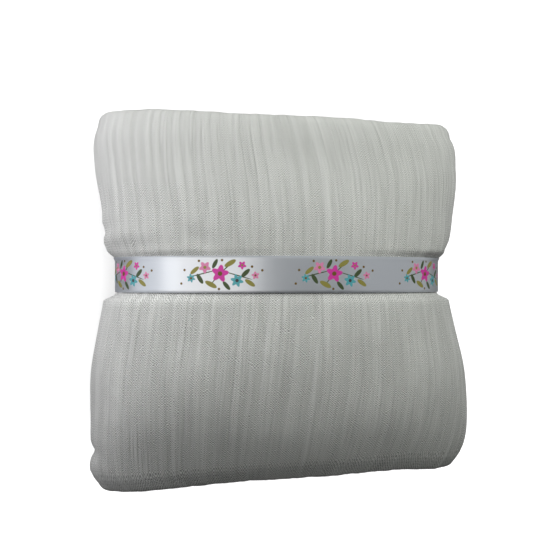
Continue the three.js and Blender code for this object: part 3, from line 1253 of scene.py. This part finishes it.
@dataclass(frozen=True)
class Muslin:
    """Washed muslin gauze, warm grey-white, crinkled and a little fuzzy.

    A pair of furrows holds how many there are in a metre, and how many times longer than wide
    they are. A pair of stitch or groove widths is in shares of the stitch's width, and the dash
    range is where a stitch starts on the rise of a sine wave. The colour darkens towards the darker
    colour as painted shade in the gaps between the threads, in the furrows and in the hem's groove.
    """

    colour: Triple = (0.92, 0.921, 0.908)
    # the darker colour for the cloudy blotches of uneven tone, and for the painted shade in the gaps,
    # furrows and hem groove
    tone_and_painted_shade_colour: Triple = (0.34, 0.345, 0.333)
    roughness: float = 0.92
    gap_roughness: float = 0.86
    sheen: float = 0.12
    sheen_roughness: float = 0.6
    shine: float = 0.2
    warp_spacing: float = 1.75 * MM
    weft_spacing: float = 1.55 * MM
    weave_height: float = 0.12 * MM
    wander: float = 1.6
    crinkle_height: float = 0.38 * MM
    crinkle_furrows: Pair = (150.0, 34.0)
    fine_height: float = 0.2 * MM
    fine_furrows: Pair = (360.0, 30.0)
    fine_offset: Triple = (3.1, 7.7, 0.0)
    cloud_scale: Triple = (26.0, 14.0, 1.0)
    cloud_range: Pair = (0.3, 0.75)
    cloud_share: float = 0.1
    # how much painted shade darkens the gaps between the threads
    gap_shade_share: float = 0.6
    # how much painted shade darkens the furrows
    furrow_shade_share: float = 0.15
    # how much painted shade darkens the hem's groove
    groove_shade_share: float = 0.35
    groove_depth: float = 0.7 * MM
    groove_widths: Pair = (0.4, 2.0)
    hem_width: float = 9.0 * MM
    stitch_length: float = 3.2 * MM
    stitch_width: float = 0.8 * MM
    stitch_height: float = 0.5 * MM
    stitch_widths: Pair = (0.3, 0.6)
    dash_range: Pair = (-0.75, -0.35)

    def make(self, weave: bpy.types.NodeTree, furrows: bpy.types.NodeTree) -> bpy.types.Material:
        """Builds the material.

        Args:
            weave: The group for the threads.
            furrows: The group for the furrows.

        Returns:
            The new material.
        """
        material, nodes, shader = new_material("muslin")
        place = nodes.add("UVMap", {}, uv_map="cloth").outputs[0]
        spacings = {"Warp Spacing": self.warp_spacing, "Weft Spacing": self.weft_spacing}
        threads = nodes.add("Group", {"Place": place, **spacings, "Wander": self.wander}, node_tree=weave)
        moved = nodes.add("Mapping", {"Vector": place, "Location": self.fine_offset}).outputs[0]
        relief = nodes.math("MULTIPLY", threads.outputs["Height"], self.weave_height)
        cloud = nodes.noise(nodes.stretched(place, self.cloud_scale), 1.0, 3.0)
        shade = nodes.math("MULTIPLY", nodes.ease(cloud, *self.cloud_range), self.cloud_share)
        # painted shade between the threads, mixed into the colour
        shade = nodes.math("MULTIPLY_ADD", threads.outputs["Gap"], self.gap_shade_share, shade)
        for spot, (rate, length), height in (
            (place, self.crinkle_furrows, self.crinkle_height),
            (moved, self.fine_furrows, self.fine_height),
        ):
            inputs = {"Place": spot, "Per Metre": rate, "Length": length}
            lines = nodes.add("Group", inputs, node_tree=furrows).outputs["Height"]
            relief = nodes.math("MULTIPLY_ADD", lines, height, relief)
            # painted shade: the colour darkens in each furrow, the deeper the darker
            deep = nodes.math("SUBTRACT", 1.0, lines)
            shade = nodes.math("MULTIPLY_ADD", deep, self.furrow_shade_share, shade)
        stitch, groove = self.hem(nodes, place)
        relief = nodes.math("MULTIPLY_ADD", groove, -self.groove_depth, relief)
        relief = nodes.math("MULTIPLY_ADD", stitch, self.stitch_height, relief)
        # painted shade in the groove that the stitches pull in
        shade = nodes.math("MULTIPLY_ADD", groove, self.groove_shade_share, shade)
        shade = nodes.math("MULTIPLY", shade, nodes.math("SUBTRACT", 1.0, stitch))
        change = self.gap_roughness - self.roughness
        values = {
            "Base Color": nodes.blend(shade, (*self.colour, 1.0), (*self.tone_and_painted_shade_colour, 1.0)),
            "Roughness": nodes.math("MULTIPLY_ADD", threads.outputs["Gap"], change, self.roughness),
            "Normal": nodes.relief(relief),
            "Sheen Weight": self.sheen,
            "Sheen Roughness": self.sheen_roughness,
            "Specular IOR Level": self.shine,
        }
        nodes.feed(shader, values)
        return material

    def hem(self, nodes: Nodes, place: bpy.types.NodeSocket) -> tuple:
        """Draws the seam that holds the hem down at the loose end.

        Args:
            nodes: The material's nodes.
            place: The place on the cloth.

        Returns:
            The share of stitch, and the share of the groove that the stitches pull in.
        """
        split = nodes.add("SeparateXYZ", {"Vector": place})
        off = nodes.math("ABSOLUTE", nodes.math("SUBTRACT", split.outputs[0], self.hem_width))
        groove, line = (
            nodes.math("SUBTRACT", 1.0, nodes.ease(off, *(self.stitch_width * share for share in widths)))
            for widths in (self.groove_widths, self.stitch_widths)
        )
        count = nodes.math("MULTIPLY", split.outputs[1], math.tau / self.stitch_length)
        dash = nodes.ease(nodes.math("SINE", count), *self.dash_range)
        return nodes.math("MULTIPLY", line, dash), groove


def printed_shape() -> bpy.types.NodeTree:
    """One flat printed shape: a leaf, a dot or a flower with petals.

    Returns:
        A group that turns a place on the ribbon into the shape's share of ink.
    """
    inputs = {"Place": None, "X": 0.0, "Y": 0.0, "Turn": 0.0, "Half Length": 1.0, "Half Width": 1.0}
    inputs |= {"Petals": 0.0, "Petal Depth": 0.0}
    group, nodes, start, end = new_group("printed_shape", inputs, {"Ink": "Float"})
    place, x, y, turn, half_length, half_width, petals, depth = start.outputs[:8]
    centre = nodes.add("CombineXYZ", {"X": x, "Y": y}).outputs[0]
    off = nodes.add("VectorMath", {0: place, 1: centre}, operation="SUBTRACT").outputs[0]
    spun = nodes.add("VectorRotate", {"Vector": off, "Angle": turn}, rotation_type="Z_AXIS")
    split = nodes.add("SeparateXYZ", {"Vector": spun.outputs[0]})
    along = nodes.math("DIVIDE", split.outputs[0], half_length)
    across = nodes.math("DIVIDE", split.outputs[1], half_width)
    squares = [nodes.math("MULTIPLY", part, part) for part in (along, across)]
    reach = nodes.math("SQRT", nodes.math("ADD", *squares))
    bearing = nodes.math("ARCTAN2", across, along)
    wave = nodes.math("COSINE", nodes.math("MULTIPLY", bearing, petals))
    notch = nodes.math("MULTIPLY", nodes.math("SUBTRACT", 1.0, wave), depth)
    room = nodes.math("SUBTRACT", nodes.math("SUBTRACT", 1.0, notch), reach)
    nodes.feed(end, {"Ink": nodes.ease(room, *INK_EDGE)})
    return group


class Ink(Enum):
    """The colours of the ribbon's print."""

    OLIVE = (0.30, 0.27, 0.06)
    DEEP_GREEN = (0.06, 0.09, 0.035)
    BROWN = (0.17, 0.10, 0.02)
    MAGENTA = (0.72, 0.05, 0.40)
    PINK = (0.80, 0.26, 0.48)
    TEAL = (0.10, 0.42, 0.48)
    CHARCOAL = (0.06, 0.06, 0.065)


@dataclass(frozen=True)
class Motif:
    """One shape of the print, in millimetres from the start and the middle of its repeat.

    Attributes:
        ink: Its colour.
        x: Its place along the ribbon.
        y: Its place across the ribbon.
        turn: How far it is turned, in degrees.
        half_length: Half its length.
        half_width: Half its width.
        petals: How many petals it has, or 0 for a plain oval.
        petal_depth: How deep the notches between the petals are.
    """

    ink: Ink
    x: float
    y: float
    turn: float
    half_length: float
    half_width: float
    petals: float = 0.0
    petal_depth: float = 0.0


def flower(ink: Ink, heart: Ink, x: float, y: float, size: float, petals: float) -> list[Motif]:
    """A flower with its centre, each turned another way."""
    heart_size = size * HEART_SHARE
    return [
        Motif(ink, x, y, FLOWER_TURN * x, size, size, petals, PETAL_DEPTH),
        Motif(heart, x, y, 0.0, heart_size, heart_size),
    ]


def leaf(ink: Ink, x: float, y: float, slant: float, half_length: float) -> Motif:
    """A pointed oval leaf that rises by its slant, in degrees."""
    return Motif(ink, x, y, -slant, half_length, half_length * LEAF_SHARE)


def twig(x: float, y: float, slant: float, half_length: float) -> Motif:
    """A thin straight stem."""
    return Motif(Ink.DEEP_GREEN, x, y, -slant, half_length, TWIG_HALF_WIDTH)


@dataclass(frozen=True)
class PrintedSatin:
    """White satin with posies of small flowers printed on it, each apart from the next."""

    colour: Triple = (0.70, 0.73, 0.80)
    roughness: float = 0.4
    ink_roughness: float = 0.8
    anisotropy: float = 0.8
    metallic: float = 0.5
    grain_turn: float = 0.25
    shine: float = 0.75
    sheen: float = 0.05
    repeat: float = 68.0 * MM
    middle: float = 11.0 * MM
    rib_spacing: float = 0.42 * MM
    rib_height: float = 0.006 * MM
    wave_scale: Triple = (90.0, 900.0, 1.0)
    wave_height: float = 0.05 * MM
    dot_size: float = 0.75

    @property
    def motifs(self) -> list[Motif]:
        """The shapes of one repeat, in the order they are printed."""
        shapes = [
            twig(22.0, 0.4, 14.0, 8.5),
            twig(43.0, -0.6, -16.0, 9.0),
            twig(29.7, -2.8, 50.0, 4.0),
            twig(36.4, 4.0, 42.0, 4.4),
            leaf(Ink.OLIVE, 27.2, -5.9, -28.0, 3.9),
            leaf(Ink.DEEP_GREEN, 20.6, -2.6, -58.0, 3.4),
            leaf(Ink.OLIVE, 17.4, 2.4, 40.0, 3.3),
            leaf(Ink.DEEP_GREEN, 29.6, 6.3, 62.0, 3.1),
            leaf(Ink.OLIVE, 38.6, 6.6, 30.0, 3.8),
            leaf(Ink.DEEP_GREEN, 36.4, -6.6, -50.0, 3.2),
            leaf(Ink.DEEP_GREEN, 47.6, 0.8, 44.0, 3.4),
            leaf(Ink.OLIVE, 50.2, -5.0, -34.0, 3.5),
        ]
        shapes += flower(Ink.MAGENTA, Ink.BROWN, 32.6, 0.5, 5.3, 5.0)
        shapes += flower(Ink.TEAL, Ink.CHARCOAL, 42.6, -3.6, 3.9, 6.0)
        shapes += flower(Ink.PINK, Ink.OLIVE, 23.6, 4.2, 3.7, 5.0)
        shapes += flower(Ink.MAGENTA, Ink.OLIVE, 45.6, 5.4, 2.6, 5.0)
        shapes += flower(Ink.TEAL, Ink.BROWN, 15.2, -2.2, 2.7, 6.0)
        shapes += flower(Ink.PINK, Ink.BROWN, 53.4, -0.6, 2.4, 5.0)
        dots = [(11.2, 2.6), (20.0, 8.0), (33.8, 8.4), (32.0, -8.6), (51.4, 4.6), (57.4, 2.4), (9.2, -5.4)]
        return shapes + [Motif(Ink.BROWN, x, y, 0.0, self.dot_size, self.dot_size) for x, y in dots]

    def make(self, shape: bpy.types.NodeTree) -> bpy.types.Material:
        """Builds the material.

        Args:
            shape: The group for one printed shape.

        Returns:
            The new material.
        """
        material, nodes, shader = new_material("printed_satin")
        place = nodes.add("UVMap", {}, uv_map="cloth").outputs[0]
        split = nodes.add("SeparateXYZ", {"Vector": place})
        along = nodes.math("WRAP", split.outputs[0], self.repeat, 0.0)
        along = nodes.math("MULTIPLY", along, 1.0 / MM)
        across = nodes.math("MULTIPLY_ADD", split.outputs[1], 1.0 / MM, -self.middle / MM)
        spot = nodes.add("CombineXYZ", {"X": along, "Y": across}).outputs[0]
        colour: object = (*self.colour, 1.0)
        inked: object = 0.0
        for motif in self.motifs:
            values = {"Place": spot, "X": motif.x, "Y": motif.y, "Turn": math.radians(motif.turn)}
            values |= {"Half Length": motif.half_length, "Half Width": motif.half_width}
            values |= {"Petals": motif.petals, "Petal Depth": motif.petal_depth}
            ink = nodes.add("Group", values, node_tree=shape).outputs[0]
            colour = nodes.blend(ink, colour, (*motif.ink.value, 1.0))
            inked = nodes.math("MAXIMUM", inked, ink)
        ribs = nodes.math("SINE", nodes.math("MULTIPLY", split.outputs[1], math.tau / self.rib_spacing))
        waves = nodes.noise(nodes.stretched(place, self.wave_scale), 1.0)
        waves = nodes.math("MULTIPLY", waves, self.wave_height)
        change = self.ink_roughness - self.roughness
        tangent = nodes.add("Tangent", {}, direction_type="UV_MAP", uv_map="cloth")
        values = {
            "Base Color": colour,
            "Normal": nodes.relief(nodes.math("MULTIPLY_ADD", ribs, self.rib_height, waves)),
            "Roughness": nodes.math("MULTIPLY_ADD", inked, change, self.roughness),
            "Metallic": nodes.math("MULTIPLY_ADD", inked, -self.metallic, self.metallic),
            "Tangent": tangent.outputs[0],
            "Anisotropic": self.anisotropy,
            "Anisotropic Rotation": self.grain_turn,
            "Specular IOR Level": self.shine,
            "Sheen Weight": self.sheen,
        }
        nodes.feed(shader, values)
        return material


@dataclass(frozen=True)
class Lamp:
    """One soft square light on the roll.

    Attributes:
        name: The light's name.
        lean: How far it stands from straight above, in degrees.
        bearing: The way it leans, in degrees from the right towards the upper end.
        distance: How far away it stands.
        size: The length of its sides.
        power: Its power in watts.
        shine: Whether shiny surfaces reflect it.
        wash: Whether it lights matt surfaces.
        colour: The colour of its light.
    """

    name: str
    lean: float
    bearing: float
    distance: float
    size: float
    power: float
    shine: bool = False
    wash: bool = True
    colour: Triple = (1.0, 1.0, 1.0)

    @property
    def direction(self) -> tuple[float, float, float]:
        """The way to the light from the roll."""
        lean, bearing = math.radians(self.lean), math.radians(self.bearing)
        return math.sin(lean) * math.cos(bearing), math.sin(lean) * math.sin(bearing), math.cos(lean)


LAMPS = (
    Lamp("window", 70.0, 160.0, 0.40, 0.3, 0.94, colour=(1.0, 1.0, 1.015)),
    Lamp("overhead", 40.0, 60.0, 0.55, 0.4, 2.05, colour=(1.0, 1.025, 0.975)),
)
BOUNCES = (
    Lamp("lower_bounce", 120.0, 270.0, 0.6, 0.4, 1.05),
    Lamp("right_bounce", 120.0, 0.0, 0.6, 0.4, 0.75),
)
SATIN_LAMPS = (
    Lamp("satin_window", 31.0, 180.0, 0.5, 0.5, 1.3, shine=True, wash=False, colour=(1.05, 1.01, 0.93)),
    Lamp("satin_side", 69.0, 180.0, 0.5, 0.4, 0.4, shine=True, wash=False, colour=(0.97, 1.0, 1.0)),
    Lamp("satin_room", 68.0, 0.0, 0.5, 0.7, 0.45, shine=True, wash=False),
)


@dataclass
class Studio:
    """The floor, the lights and the camera."""

    camera_turn: float = 8.0
    camera_height: float = 588.7 * MM
    camera_across: float = 6.36 * MM
    camera_up: float = 13.86 * MM
    focal_pixels: float = 788.0
    picture_pixels: float = 560.0
    sensor: float = 36.0
    near_clip: float = 0.01
    floor_size: float = 60.0
    floor_drop: float = 0.3 * MM
    floor_tones: Pair = (0.86, 0.88)
    floor_cloud: float = 3.0
    floor_cloud_range: Pair = (0.3, 0.7)
    floor_roughness: float = 0.9
    floor_shine: float = 0.1
    floor_light: float = 5.5
    floor_light_angle: float = 80.0
    target_height: float = 60.0 * MM
    fill: float = 0.012
    fill_colour: Triple = (0.92, 0.96, 1.0)

    def build_camera(self) -> None:
        """Places the camera over the roll, as in the photograph."""
        turn = math.radians(self.camera_turn)
        back = Vector((-math.sin(turn), 0.0, math.cos(turn)))
        right = Vector((math.cos(turn), 0.0, math.sin(turn)))
        up = Vector((0.0, 1.0, 0.0))
        data = bpy.data.cameras.new("camera")
        data.sensor_width = self.sensor
        data.lens = self.focal_pixels / self.picture_pixels * self.sensor
        data.clip_start = self.near_clip
        camera = bpy.data.objects.new("camera", data)
        bpy.context.scene.collection.objects.link(camera)
        spot = right * self.camera_across + up * self.camera_up + back * self.camera_height
        axes = Matrix((right, up, back)).transposed().to_4x4()
        camera.matrix_world = Matrix.Translation(spot) @ axes
        bpy.context.scene.camera = camera

    def build_floor(self) -> bpy.types.Object:
        """Makes the pale floor.

        Returns:
            The floor.
        """
        bpy.ops.object.select_all(action="DESELECT")
        bpy.ops.mesh.primitive_plane_add(size=self.floor_size, location=(0.0, 0.0, 0.0))
        floor = bpy.context.object
        floor.name = "floor"
        floor.location.z = -self.floor_drop
        floor.visible_diffuse = False
        floor.visible_glossy = False
        material, nodes, shader = new_material("pale_floor")
        cloud = nodes.noise(nodes.add("TexCoord", {}).outputs["Object"], self.floor_cloud)
        low, high = ((tone, tone, tone, 1.0) for tone in self.floor_tones)
        colour = nodes.blend(nodes.ease(cloud, *self.floor_cloud_range), low, high)
        values = {"Base Color": colour, "Roughness": self.floor_roughness}
        nodes.feed(shader, {**values, "Specular IOR Level": self.floor_shine})
        floor.data.materials.append(material)
        return floor

    def area_light(self, lamp: Lamp) -> bpy.types.Object:
        """Adds one soft square light, turned towards the roll.

        Args:
            lamp: Its place, size and power.

        Returns:
            The light.
        """
        data = bpy.data.lights.new(lamp.name, "AREA")
        data.shape = "SQUARE"
        data.size = lamp.size
        data.energy = lamp.power
        data.color = lamp.colour
        light = bpy.data.objects.new(lamp.name, data)
        bpy.context.scene.collection.objects.link(light)
        light.visible_camera = False
        light.visible_glossy = lamp.shine
        light.visible_diffuse = lamp.wash
        target = Vector((0.0, 0.0, self.target_height))
        light.location = target + Vector(lamp.direction) * lamp.distance
        light.rotation_euler = (target - light.location).to_track_quat("-Z", "Y").to_euler()
        return light

    def build_floor_light(self, floor: bpy.types.Object) -> None:
        """Adds the soft light that falls on the floor alone."""
        data = bpy.data.lights.new("floor_wash", "SUN")
        data.energy = self.floor_light
        data.angle = math.radians(self.floor_light_angle)
        wash = bpy.data.objects.new("floor_wash", data)
        bpy.context.scene.collection.objects.link(wash)
        self.light_only("lit_by_wash", wash, [floor])

    def build_world(self) -> None:
        """Gives the room its soft fill light, and a pale background where the floor ends."""
        world = bpy.data.worlds.new("room")
        bpy.context.scene.world = world
        world.use_nodes = True
        nodes = Nodes(world.node_tree)
        background = world.node_tree.nodes["Background"]
        seen = nodes.add("LightPath", {}).outputs["Is Camera Ray"]
        colour = nodes.blend(seen, (*self.fill_colour, 1.0), (1.0, 1.0, 1.0, 1.0))
        strength = nodes.math("MULTIPLY_ADD", seen, 1.0 - self.fill, self.fill)
        nodes.feed(background, {"Color": colour, "Strength": strength})

    def build(self, pieces: list[bpy.types.Object], shiny: list[bpy.types.Object]) -> None:
        """Sets up the whole studio.

        Args:
            pieces: The pieces that the lamps fall on.
            shiny: Those of them that reflect the room's light places.
        """
        floor = self.build_floor()
        for lamp in LAMPS + BOUNCES + SATIN_LAMPS:
            light = self.area_light(lamp)
            lit = self.light_only("lit_by_" + lamp.name, light, shiny if lamp.shine else pieces)
            if lamp in BOUNCES:
                light.light_linking.blocker_collection = lit
        self.build_floor_light(floor)
        self.build_world()
        self.build_camera()
        bpy.context.scene.view_settings.view_transform = "Standard"

    def light_only(
        self, name: str, light: bpy.types.Object, pieces: list[bpy.types.Object]
    ) -> bpy.types.Collection:
        """Makes a light fall on some objects alone.

        Args:
            name: The name of their collection.
            light: The light.
            pieces: The objects.

        Returns:
            The collection.
        """
        collection = bpy.data.collections.new(name)
        for piece in pieces:
            collection.objects.link(piece)
        light.light_linking.receiver_collection = collection
        return collection


def report(piece: bpy.types.Object) -> None:
    """Writes a piece's name and size to the log."""
    triangles = sum(len(face.vertices) - 2 for face in piece.data.polygons)
    LOG.info("%s: %d triangles, %s", piece.name, triangles, [round(v, 4) for v in piece.dimensions])


def main() -> None:
    """Builds the blanket, the ribbon and the studio, and reports each piece."""
    logging.basicConfig(level=logging.INFO, format="%(message)s")
    form = RollForm()
    weave, furrows, shape = GauzeWeave().make(), FineFurrows().make(), printed_shape()

    blanket = Blanket(form)
    cloth = blanket.build()
    cloth.data.materials.append(Muslin().make(weave, furrows))
    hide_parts("blanket")
    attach(cloth, "root")
    blanket.flat_size
    report(cloth)

    ribbon = Ribbon(form)
    band = ribbon.build()
    band.data.materials.append(PrintedSatin().make(shape))
    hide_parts("ribbon")
    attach(band, "root")
    ribbon.flat_size
    report(band)

    Studio().build([cloth, band], [band])


if __name__ == "__main__":
    main()
